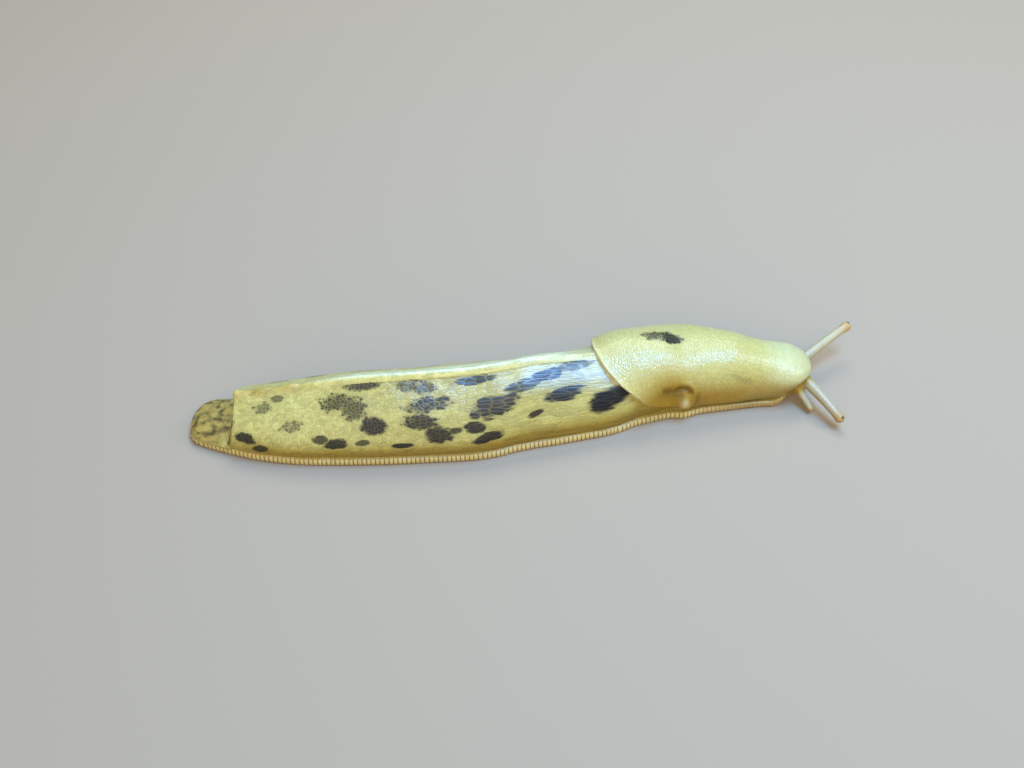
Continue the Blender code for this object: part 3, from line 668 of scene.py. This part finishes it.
# The markings are dark pigment in the skin: soft-edged spots down both flanks and one on the
# mantle, which is two that overlap. A row gives station, distance from the crest, half length and
# half height in mm, tilt in degrees, how dark it is and how far pale furrows break it up.
RIGHT_SPOTS = (
    (8.4, -5.0, 0.8, 1.5, 0, 0.8, 0.8), (11.2, -8.3, 1.9, 0.9, -25, 0.95, 0.2),
    (13.7, -10.6, 1.5, 0.7, -5, 0.9, 0.2),
    (14.0, -3.4, 1.7, 1.0, -4, 0.72, 1.0), (16.4, -2.1, 1.3, 0.6, 0, 0.75, 0.5),
    (19.0, -7.3, 1.7, 1.05, 0, 0.74, 1.0), (26.4, -4.2, 2.7, 1.7, -6, 0.85, 0.6),
    (29.6, -5.6, 2.6, 2.0, -30, 0.85, 0.6), (33.0, -8.8, 2.2, 1.6, -5, 0.97, 0.2),
    (31.2, -1.7, 3.1, 0.9, 2, 0.9, 0.4), (24.0, -10.4, 1.5, 0.8, -12, 0.9, 0.2),
    (26.6, -11.4, 2.1, 0.95, -5, 0.97, 0.2), (31.2, -11.7, 1.1, 0.55, 0, 0.85, 0.2),
    (37.4, -12.7, 1.7, 0.5, 0, 0.95, 0.1), (39.0, -2.3, 2.2, 1.1, 5, 0.8, 0.7),
    (41.6, -3.0, 2.0, 1.1, -8, 0.8, 0.7), (42.2, -5.9, 3.9, 1.3, 4, 0.92, 0.5),
    (40.6, -8.8, 3.2, 1.3, -6, 0.95, 0.4), (43.8, -11.3, 2.4, 1.5, -8, 0.97, 0.2),
    (46.5, -10.8, 1.5, 0.6, 5, 0.92, 0.2), (49.8, -10.6, 2.0, 1.0, -3, 0.97, 0.15),
    (52.2, -12.6, 2.6, 0.95, 12, 0.97, 0.1), (50.2, -2.4, 3.5, 0.8, 2, 0.92, 0.5),
    (53.4, -7.2, 4.4, 1.9, 8, 0.97, 0.45), (60.0, -9.8, 1.5, 0.6, 18, 0.95, 0.1),
    (59.2, -4.6, 4.2, 1.1, 8, 0.92, 0.5), (63.4, -3.6, 4.6, 1.3, 10, 0.95, 0.4),
    (67.8, -2.4, 3.6, 1.1, 10, 0.85, 0.5), (65.4, -6.8, 3.8, 1.45, 14, 0.97, 0.2),
    (72.3, -8.8, 3.7, 1.8, 18, 1.0, 0.1), (65.5, -4.3, 6.5, 2.3, 9, 0.4, 1.0),
)  # fmt: skip
LEFT_SPOTS = (
    (11.5, 7.2, 1.8, 1.0, 15, 0.9, 0.2), (15.5, 5.4, 1.9, 1.0, 0, 0.6, 0.7),
    (18.0, 9.8, 2.0, 0.8, 0, 0.9, 0.2), (22.0, 5.6, 2.2, 1.0, 10, 0.75, 0.6),
    (27.0, 9.4, 2.6, 1.4, 8, 0.95, 0.3), (31.0, 6.0, 2.8, 1.2, -5, 0.8, 0.6),
    (34.0, 12.2, 1.6, 0.6, 0, 0.9, 0.1), (38.5, 9.0, 3.0, 1.6, 8, 0.9, 0.4),
    (43.0, 5.8, 2.6, 0.9, 0, 0.8, 0.6), (46.0, 11.4, 2.6, 1.2, -6, 0.95, 0.2),
    (51.5, 7.6, 3.6, 1.5, -4, 0.95, 0.4), (54.0, 12.8, 1.5, 0.6, 0, 0.9, 0.1),
    (59.5, 10.2, 2.4, 1.1, -8, 0.95, 0.2), (61.0, 5.6, 2.8, 0.9, -4, 0.75, 0.6),
    (67.5, 7.6, 3.2, 1.5, -10, 0.97, 0.2), (72.5, 10.4, 2.4, 1.2, -14, 0.95, 0.1),
)  # fmt: skip
MANTLE_SPOTS = ((83.4, 1.0, 2.3, 1.25, -4, 0.88, 0.5), (86.0, 0.5, 2.4, 1.55, -12, 1.0, 0.35))


def spotted(station, girth_mm, spots):
    """How far a point is inside a spot, 0 to 1, how dark the spot is and how broken up."""
    ragged = 0.13 * hills(station / 1.5, girth_mm / 1.2, 81)
    ragged += 0.08 * hills(station / 0.7, girth_mm / 0.45, 82)
    inside, darkness, brokenness = np.zeros((3, len(station)))
    for centre, out, half_length, half_height, tilt, dark, broken in spots:
        du, dv = station - centre, girth_mm - out
        turn = math.radians(tilt)
        a = (du * math.cos(turn) + dv * math.sin(turn)) / half_length
        b = (dv * math.cos(turn) - du * math.sin(turn)) / half_height
        here = step((1.45 - np.hypot(a, b) - ragged) / 0.9)
        darkness = np.where(here > inside, dark, darkness)
        brokenness = np.where(here > inside, broken, brokenness)
        inside = np.maximum(inside, here)
    return np.stack([inside, darkness, brokenness])


spots = spotted(station, back_girth, RIGHT_SPOTS + LEFT_SPOTS)
spots = np.where(on_mantle > 0.5, spotted(station, mantle_girth, MANTLE_SPOTS), spots)
spots[0] *= np.maximum(on_back * (1 - 0.8 * keel), on_mantle)

# The tail's lobe is mottled brown up to the step, and its edge frays towards the foot.
lobe_end = 8.9 - 1.6 * step((5.0 - height) / 2.5) * (0.5 + 0.8 * hills(back_girth / 1.3, station / 5, 93))
lobe_fade = 0.4 + 1.2 * step((4.5 - height) / 2.0)
on_lobe = step((lobe_end - station) / lobe_fade) * step((height - 1.6) / 0.5) * on_back
climbed = station + below_step
lobe_dark = np.exp(-(((station - 6.5) / 2.2) ** 2) - ((sideways / MM + 2.6) / 1.7) ** 2)
lobe_tone = 0.2 + 0.5 * lobe_dark + 0.65 * hills(climbed / 1.2, back_girth / 1.0, 91)
lobe_tone += 0.5 * hills(climbed / 0.5, back_girth / 0.5, 92)

# Brown low on the flanks is partly skin colour and partly painted shade where they face down.
brown_from = 6.4 + 0.8 * step((station - 42) / 16)
low_on_back = step((brown_from - height) / 4.0) * on_back * (0.3 + 0.7 * step((station - 8) / 6))
# The slime is thinner low on the flanks, so it shines less.
near_mantle = step((station - 54) / 8)
slime_from = (0.83 + 0.05 * near_mantle) * along(TOP_HEIGHT, s) / MM
thin_slime = step((slime_from - height) / (2.2 - 0.8 * near_mantle)) * on_back

# Ochre shows low on the mantle, round the pore, on the head and on the keel's end.
# Low on the mantle it is partly painted shade, and on the head under the hood it is painted shade.
low_on_mantle = step((9.4 - height) / 4.6) * on_mantle * (1 - 0.35 * step((station - 97) / 7))
around_pore = np.exp(-(((p + 1.9) / 5.2) ** 2) - (((q - 0.6) / 3.2) ** 2)) * on_mantle
ochre = np.clip(0.8 * low_on_mantle + 1.0 * around_pore, 0, 1) * (1 - 0.85 * pore_pad * on_mantle)
# Painted shade: the head under the hood's front.
on_head = on_back * step((station - 98) / 6)
keel_ochre = 0.5 * keel * step((27 - station) / 12)
keel_ochre *= 0.8 + 0.6 * hills(station / 2.1, back_girth / 2, 61)
ochre = np.max([ochre, 0.55 * on_head, keel_ochre], axis=0)

# A paler, greener yellow is painted left of the crest, behind the mantle and on its top and nose.
# It is painted light and painted sheen, where the lamps strike the tops and the wet slime shines.
far_of_crest = keel_length * step((back_girth + 0.55) / 0.4) * step((4.0 - back_girth) / 2.0)
far_of_crest = far_of_crest * step((station - 20) / 12)
mint = np.maximum(far_of_crest, 0.45 * near_mantle * step((height - 10) / 1.0) * on_back)
mantle_top = 0.12 * step((height - 8.5) / 3.5)
mantle_nose = 0.6 * step((station - 101) / 6) * step((height - 4.5) / 2.5)
mint = np.maximum(mint, on_mantle * (mantle_top + mantle_nose))

# Painted shade darkens both pores, the valley beyond the ring, the mouth, the mantle's lower rim at the nose,
# and the furrows beside the keel and over the foot.
in_slit = near_line(p, q, ((-3.6, 0.3), (-1.0, 0.3)), 0.8)
in_pore = np.clip(0.62 * crescent * pore_depth + 0.3 * in_slit + 0.25 * dimple + 0.2 * hollow, 0, 1)
beyond_ring = np.exp(-(((from_middle - 3.0) / 0.6) ** 2))
beyond_ring = beyond_ring * step((p - 0.6) / 1.2) * step((1.2 - q) / 1.0)
under_nose = 0.4 * on_mantle * step((station - 97) / 6) * step((np.abs(v) - 0.74) / 0.24)
over_foot = (0.1 + 0.25 * step((station - 30) / 20)) * furrow_over_foot * step((104 - station) / 2)
stain = np.max([
    in_pore * on_mantle, 0.45 * beyond_ring * on_mantle, under_nose, 0.8 * mouth, 0.5 * slime_pore,
    over_foot, 0.22 * beside_keel,
], axis=0)  # fmt: skip

# The keel, the tail's back and the mantle's rim are pale, and cream painted light lifts the rim's shade.
light_tail = 0.4 * step((36 - station) / 14) * step((height - 4) / 2) * on_back * (1 - on_lobe)
rim_band = np.maximum(step((0.9 - past_rim) / 0.6), step((np.abs(v) - 0.95) / 0.04))
rim_band = on_mantle * rim_band * 0.6
# Painted light: cream on the rim's rear edge and on its wall facing the tail, which lie in shade.
_, _, forward_x, forward_y = spine(s)
rearward = -normals[:, 0] * forward_x - normals[:, 1] * forward_y
rim_wall_painted_light = step((rearward - 0.2) / 0.4) * step((0.6 - np.abs(past_rim)) / 0.3)
rim_wall_painted_light = rim_wall_painted_light * step((1.2 - off_mantle) / 0.2)
rim_painted_light = np.maximum(on_mantle * step((0.35 - past_rim) / 0.4), rim_wall_painted_light)
rim_painted_light = rim_painted_light * step((0.85 - np.abs(v)) / 0.25)

# Where the slime is thin, the skin shines less.
dull = np.max([
    0.9 * thin_slime, 0.55 * on_back * step((52 - station) / 8), 0.15 * on_mantle, 0.9 * low_on_mantle,
    0.85 * around_pore, 0.85 * on_lobe, 0.6 * fringe, 0.5 * feeler_share,
], axis=0)  # fmt: skip
MASKS = {
    "spot": spots[0],
    "spot_dark": spots[1],
    "spot_broken": spots[2],
    "lobe": on_lobe,
    "lobe_mottle": on_lobe * np.clip(lobe_tone, 0, 1),
    "back": on_back,
    # partly skin colour, partly painted shade low on the flanks
    "brown": low_on_back,
    "pale": np.max([keel, rim_band, light_tail], axis=0),
    # cream painted light on the rim's rear edge and wall, cream painted highlight on the pore's pad
    "cream": np.maximum(rim_painted_light, 0.75 * pore_pad * on_mantle),
    # painted light and painted sheen, a paler greener yellow
    "mint": mint,
    "mantle": on_mantle,
    # ochre colour, with painted shade low on the mantle and on the head under the hood
    "ochre": ochre,
    # painted shade in pores, slits, grooves and under the nose
    "stain": stain,
    "fringe": fringe,
    "pink": fringe * step((station - 88) / 12),
    "rib_count": rib_count,
    "rib_depth": rib_depth,
    "dull": dull,
    "feeler": feeler_share,
    # painted shade on the feelers' downward-facing side
    "feeler_under": feeler_under,
    "feeler_tip": feeler_tip,
}
for name, values in MASKS.items():
    attribute = skin_mesh.attributes.new(name, "FLOAT", "POINT")
    attribute.data.foreach_set("value", values.astype(np.float32))
for name, across, around in (("back_bumps", back_u, back_v), ("mantle_grains", mantle_u, mantle_v)):
    counts = np.stack([across, around, 0 * around], axis=1)
    attribute = skin_mesh.attributes.new(name, "FLOAT_VECTOR", "POINT")
    attribute.data.foreach_set("vector", counts.astype(np.float32).ravel())
skin_mesh.shade_smooth()
skin = bpy.data.objects.new("skin", skin_mesh)
bpy.context.scene.collection.objects.link(skin)


def linear(code):
    """A colour for a shader from its sRGB hex code."""
    parts = [int(code[i : i + 2], 16) / 255 for i in (0, 2, 4)]
    return (*[c / 12.92 if c <= 0.04045 else ((c + 0.055) / 1.055) ** 2.4 for c in parts], 1)


def node(tree, kind, inputs=(), **settings):
    """Adds a node with its settings, its values and its links."""
    made = tree.nodes.new(kind)
    for key, value in settings.items():
        setattr(made, key, value)
    for key, value in dict(inputs).items():
        if isinstance(value, bpy.types.NodeSocket):
            tree.links.new(value, made.inputs[key])
        else:
            made.inputs[key].default_value = value
    return made


# Living slug skin: clear slime over translucent yellow-green flesh. The slime gives wet glints, the flesh
# below a soft glow, and pigment near the surface the olive, ochre and dark spots. The colour also carries
# painted shade in hollows and low down, and painted light and sheen on the tops and the mantle's rim.
CLOUDS_PER_MM = 0.26  # a cloud is about 4 mm
FLECKS_PER_MM = 3.0  # a fleck is a third of a millimetre
wet_skin = bpy.data.materials.new("wet_slug_skin")
wet_skin.use_nodes = True
tree = wet_skin.node_tree
tree.nodes.clear()
where = node(tree, "ShaderNodeTexCoord").outputs["Object"]
clouds = {"Vector": where, "Scale": CLOUDS_PER_MM / MM, "Detail": 4, "Roughness": 0.6}
cloudy = node(tree, "ShaderNodeTexNoise", clouds).outputs["Fac"]
flecks = {"Vector": where, "Scale": FLECKS_PER_MM / MM, "Detail": 3, "Roughness": 0.6}
fine = node(tree, "ShaderNodeTexNoise", flecks).outputs["Fac"]
mask = {name: node(tree, "ShaderNodeAttribute", attribute_name=name).outputs["Fac"] for name in MASKS}

# Every bump has a random tone, and a height in mm that falls off into the furrow round it. A
# furrow's width is a share of a bump's.
BUMP_SHAPES = (("back_bumps", 0.3, 0.016), ("mantle_grains", 0.36, 0.03))  # name, width, height
furrow, tone, rise = {}, {}, {}
for name, width, tall in BUMP_SHAPES:
    counts = node(tree, "ShaderNodeAttribute", attribute_name=name).outputs["Vector"]
    cell = {"Vector": counts, "Scale": 1.0, "Randomness": 0.85}
    flat = {"voronoi_dimensions": "2D"}
    away = node(tree, "ShaderNodeTexVoronoi", cell, **flat, feature="DISTANCE_TO_EDGE")
    inner = node(tree, "ShaderNodeTexVoronoi", cell, **flat, feature="F1")
    tone[name] = node(tree, "ShaderNodeSeparateXYZ", {0: inner.outputs["Color"]}).outputs[0]
    dome = {"Value": away.outputs["Distance"], "From Max": width, "To Max": tall}
    rise[name] = node(tree, "ShaderNodeMapRange", dome, interpolation_type="SMOOTHSTEP").outputs[0]
    ditch = {**dome, "From Max": width * 0.6, "To Min": 1.0, "To Max": 0.0}
    furrow[name] = node(tree, "ShaderNodeMapRange", ditch, interpolation_type="SMOOTHSTEP").outputs[0]
pick = {0: mask["mantle"], 2: tone["back_bumps"], 3: tone["mantle_grains"]}
own_tone = node(tree, "ShaderNodeMix", pick).outputs[0]
pick = {0: mask["mantle"], 2: furrow["back_bumps"], 3: furrow["mantle_grains"]}
own_furrow = node(tree, "ShaderNodeMix", pick).outputs[0]

# A spot breaks up bump by bump towards its edge, and a broken one also inside.
terms = {0: mask["spot_broken"], 1: 0.9, 2: 0.25}
loose = node(tree, "ShaderNodeMath", terms, operation="MULTIPLY_ADD").outputs[0]
chance = node(tree, "ShaderNodeMath", {0: own_tone, 1: 0.5}, operation="SUBTRACT").outputs[0]
terms = {0: own_furrow, 1: -0.3, 2: chance}
chance = node(tree, "ShaderNodeMath", terms, operation="MULTIPLY_ADD").outputs[0]
terms = {0: chance, 1: loose, 2: mask["spot"]}
spread = node(tree, "ShaderNodeMath", terms, operation="MULTIPLY_ADD").outputs[0]
edge = {"Value": spread, "From Min": 0.15, "From Max": 0.85, "To Max": mask["spot_dark"]}
pigment = node(tree, "ShaderNodeMapRange", edge, interpolation_type="SMOOTHSTEP").outputs[0]
clear = node(tree, "ShaderNodeMath", {0: own_furrow, 1: mask["spot_broken"]}, operation="MULTIPLY").outputs[0]
clear = node(tree, "ShaderNodeMath", {0: clear, 1: -0.4, 2: 1.0}, operation="MULTIPLY_ADD").outputs[0]
mask["pigment"] = node(tree, "ShaderNodeMath", {0: pigment, 1: clear}, operation="MULTIPLY").outputs[0]

# The fringe's ribs: pale rounded bars with a thin dark line between them.
from_line = node(tree, "ShaderNodeMath", {0: mask["rib_count"], 1: 0.5}, operation="PINGPONG").outputs[0]
between = {"Value": from_line, "From Min": 0.05, "From Max": 0.17, "To Min": 1.0, "To Max": 0.0}
between = node(tree, "ShaderNodeMapRange", between, interpolation_type="SMOOTHSTEP").outputs[0]
between = node(tree, "ShaderNodeMath", {0: between, 1: mask["rib_depth"]}, operation="MULTIPLY").outputs[0]
between = node(tree, "ShaderNodeMath", {0: between, 1: mask["fringe"]}, operation="MULTIPLY").outputs[0]
mask["rib_line"] = between
mask["furrow"] = own_furrow

# The colours lie over one another from the yellow ground up: mask, colour and greatest share.
LAYERS = (
    ("mantle", "cec16c", 1.0),
    ("furrow", "8a7a3a", 0.26),
    ("pale", "d8ca74", 0.8),
    # painted light on the mantle's rim and painted highlight on the pore's pad
    ("cream", "f4ecb8", 0.9),
    # painted light and painted sheen
    ("mint", "dbe0ac", 0.85),
    # partly skin colour, partly painted shade
    ("brown", "a08420", 0.9),
    # ochre colour with painted shade
    ("ochre", "a67c0e", 0.92),
    ("lobe", "b4984a", 0.95),
    ("lobe_mottle", "3c341e", 0.85),
    ("fringe", "e0ca80", 1.0),
    ("pink", "b08c52", 0.75),
    ("rib_line", "54401c", 0.8),
    ("feeler", "bcb088", 0.9),
    # painted shade on the feelers' undersides
    ("feeler_under", "c8963a", 0.7),
    ("feeler_tip", "c4923a", 0.8),
    # painted shade
    ("stain", "4f3a14", 0.9),
    ("pigment", "131315", 1.0),
)
ground = {0: cloudy, 6: linear("b0a04c"), 7: linear("cdbe70")}
colour = node(tree, "ShaderNodeMix", ground, data_type="RGBA").outputs[2]
for name, code, strength in LAYERS:
    share = node(tree, "ShaderNodeMath", {0: mask[name], 1: strength}, operation="MULTIPLY").outputs[0]
    colour = node(tree, "ShaderNodeMix", {0: share, 6: colour, 7: linear(code)}, data_type="RGBA").outputs[2]

# Each bump and fleck is a little lighter or darker, more so on the back.
tint = node(tree, "ShaderNodeMath", {0: own_tone, 1: 0.6, 2: -1.1}, operation="MULTIPLY_ADD").outputs[0]
tint = node(tree, "ShaderNodeMath", {0: fine, 1: 1.6, 2: tint}, operation="MULTIPLY_ADD").outputs[0]
varied = node(tree, "ShaderNodeMath", {0: mask["back"], 1: 0.2, 2: 0.14}, operation="MULTIPLY_ADD").outputs[0]
tint = node(tree, "ShaderNodeMath", {0: tint, 1: varied, 2: 0.7}, operation="MULTIPLY_ADD").outputs[0]
colour = node(tree, "ShaderNodeVectorMath", {0: colour, "Scale": tint}, operation="SCALE").outputs[0]
tall = node(tree, "ShaderNodeMath", {0: fine, 1: 0.02}, operation="MULTIPLY").outputs[0]
for part, name in (("back", "back_bumps"), ("mantle", "mantle_grains")):
    terms = {0: mask[part], 1: rise[name], 2: tall}
    tall = node(tree, "ShaderNodeMath", terms, operation="MULTIPLY_ADD").outputs[0]
bump = node(tree, "ShaderNodeBump", {"Height": tall, "Strength": 1.0, "Distance": MM}).outputs[0]
slime = node(tree, "ShaderNodeMath", {0: mask["dull"], 1: -1.0, 2: 1.0}, operation="MULTIPLY_ADD").outputs[0]
shader = node(
    tree,
    "ShaderNodeBsdfPrincipled",
    {
        "Base Color": colour,
        "Roughness": 0.38,
        "IOR": 1.4,
        "Specular IOR Level": 0.25,
        "Subsurface Weight": 0.2,
        "Subsurface Radius": (1.0, 0.7, 0.25),
        "Subsurface Scale": 0.8 * MM,
        "Coat Weight": slime,
        "Coat Roughness": 0.24,
        "Coat IOR": 1.38,
        "Normal": bump,
        "Coat Normal": bump,
    },
)
node(tree, "ShaderNodeOutputMaterial", {"Surface": shader.outputs[0]})
skin.data.materials.append(wet_skin)
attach(skin, "root")
flesh_nodes = [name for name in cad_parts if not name.startswith("eye")]
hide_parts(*flesh_nodes)

# Each eye is a black bead at the tip of an upper feeler, just under clear skin. It is drawn as a
# smooth glossy ball 0.6 mm across, sunk in the tip and turned up and forward.

EYE_RADIUS = 0.3 * MM
EYE_SUNK = 0.22 * MM
EYE_TILT = math.radians(60)
EYE_FLECKS_PER_MM = 5.0

# A dark lens under a clear wet skin: nearly black, with one small hard glint.
eye_black = bpy.data.materials.new("black_eye_under_clear_skin")
eye_black.use_nodes = True
tree = eye_black.node_tree
tree.nodes.clear()
where = node(tree, "ShaderNodeTexCoord").outputs["Object"]
flecks = {"Vector": where, "Scale": EYE_FLECKS_PER_MM / MM}
mottling = node(tree, "ShaderNodeTexNoise", flecks).outputs["Fac"]
blacks = {0: mottling, 6: linear("0c0806"), 7: linear("2a1c10")}
colour = node(tree, "ShaderNodeMix", blacks, data_type="RGBA").outputs[2]
gloss = {"Base Color": colour, "Roughness": 0.12, "Coat Weight": 0.6, "Coat Roughness": 0.05}
shader = node(tree, "ShaderNodeBsdfPrincipled", gloss)
node(tree, "ShaderNodeOutputMaterial", {"Surface": shader.outputs[0]})
for word in ("right", "left"):
    line, length, diameters = feelers["upper_" + word]
    tip = diameters[-1][1] * MM / 2
    middle = line(length - tip)
    ahead = line(length) - middle
    ahead /= np.linalg.norm(ahead)
    upward = np.array([0, 0, 1]) - ahead * ahead[2]
    upward /= np.linalg.norm(upward)
    facing = math.cos(EYE_TILT) * ahead + math.sin(EYE_TILT) * upward
    bead_mesh = bpy.data.meshes.new("eye_bead_" + word)
    work = bmesh.new()
    bmesh.ops.create_icosphere(work, subdivisions=4, radius=EYE_RADIUS)
    work.transform(Matrix.Translation(Vector(middle + (tip - EYE_SUNK) * facing)))
    work.to_mesh(bead_mesh)
    work.free()
    bead_mesh.shade_smooth()
    bead_mesh.materials.append(eye_black)
    bead = bpy.data.objects.new("eye_bead_" + word, bead_mesh)
    bpy.context.scene.collection.objects.link(bead)
    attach(bead, "root")
    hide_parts("eye_" + word)

# The stage is a wide sheet of plain pale paper, matt and without a pattern, lit by four soft
# panels: a cold one overhead, one behind, a large warm one in front and a small one at the head.
# The camera looks down from the animal's right.

FLOOR_HALF = 3
FLOOR_UNDER_SOLE = 0.02 * MM
corners = [(x * FLOOR_HALF, y * FLOOR_HALF, 0) for x, y in ((-1, -1), (1, -1), (1, 1), (-1, 1))]
floor_mesh = bpy.data.meshes.new("floor")
floor_mesh.from_pydata(corners, [], [(0, 1, 2, 3)])
floor = bpy.data.objects.new("floor", floor_mesh)
floor.location.z = -FLOOR_UNDER_SOLE
bpy.context.scene.collection.objects.link(floor)
paper = bpy.data.materials.new("pale_paper")
paper.use_nodes = True
tree = paper.node_tree
tree.nodes.clear()
shader = node(tree, "ShaderNodeBsdfPrincipled", {"Base Color": linear("97876d"), "Roughness": 0.9})
node(tree, "ShaderNodeOutputMaterial", {"Surface": shader.outputs[0]})
floor_mesh.materials.append(paper)

# Each panel's place, aim, size, power and colour.
LIGHTS = (
    ("sky_panel", (0.12, -0.04, 0.48), (0.0, 0, 0.01), 0.23, 5.2, "7cb4ff"),
    ("back_panel", (0.06, 0.27, 0.45), (0.02, 0, 0), 0.25, 1.8, "eaf2f8"),
    ("front_fill", (-0.3, -1.5, 1.0), (0, 0, 0), 2.2, 35.0, "fff0da"),
    ("head_panel", (0.42, -0.06, 0.36), (0.045, 0, 0.01), 0.2, 1.0, "f4f4ec"),
)
for name, spot, aim, size, power, code in LIGHTS:
    lamp = bpy.data.lights.new(name, "AREA")
    lamp.size = size
    lamp.energy = power
    lamp.color = linear(code)[:3]
    thing = bpy.data.objects.new(name, lamp)
    thing.location = spot
    thing.rotation_euler = (Vector(aim) - Vector(spot)).to_track_quat("-Z", "Y").to_euler()
    bpy.context.scene.collection.objects.link(thing)
world = bpy.data.worlds.new("studio")
world.use_nodes = True
world.node_tree.nodes["Background"].inputs["Color"].default_value = linear("e8e8e8")
world.node_tree.nodes["Background"].inputs["Strength"].default_value = 0.25
bpy.context.scene.world = world
bpy.context.scene.view_settings.view_transform = "Standard"

camera_data = bpy.data.cameras.new("camera")
HALF_FILM = 18  # mm
HALF_VIEW = math.radians(26)
camera_data.lens = HALF_FILM / math.tan(HALF_VIEW)
camera_data.clip_start = 10 * MM
camera = bpy.data.objects.new("camera", camera_data)
azimuth, elevation = math.radians(-5.8), math.radians(48)
back_along = math.cos(elevation)
backward = Vector((math.sin(azimuth) * back_along, -math.cos(azimuth) * back_along, math.sin(elevation)))
camera.rotation_euler = (-backward).to_track_quat("-Z", "Y").to_euler()
camera.location = (-16.28 * MM, -124.38 * MM, 145.78 * MM)
bpy.context.scene.collection.objects.link(camera)
bpy.context.scene.camera = camera
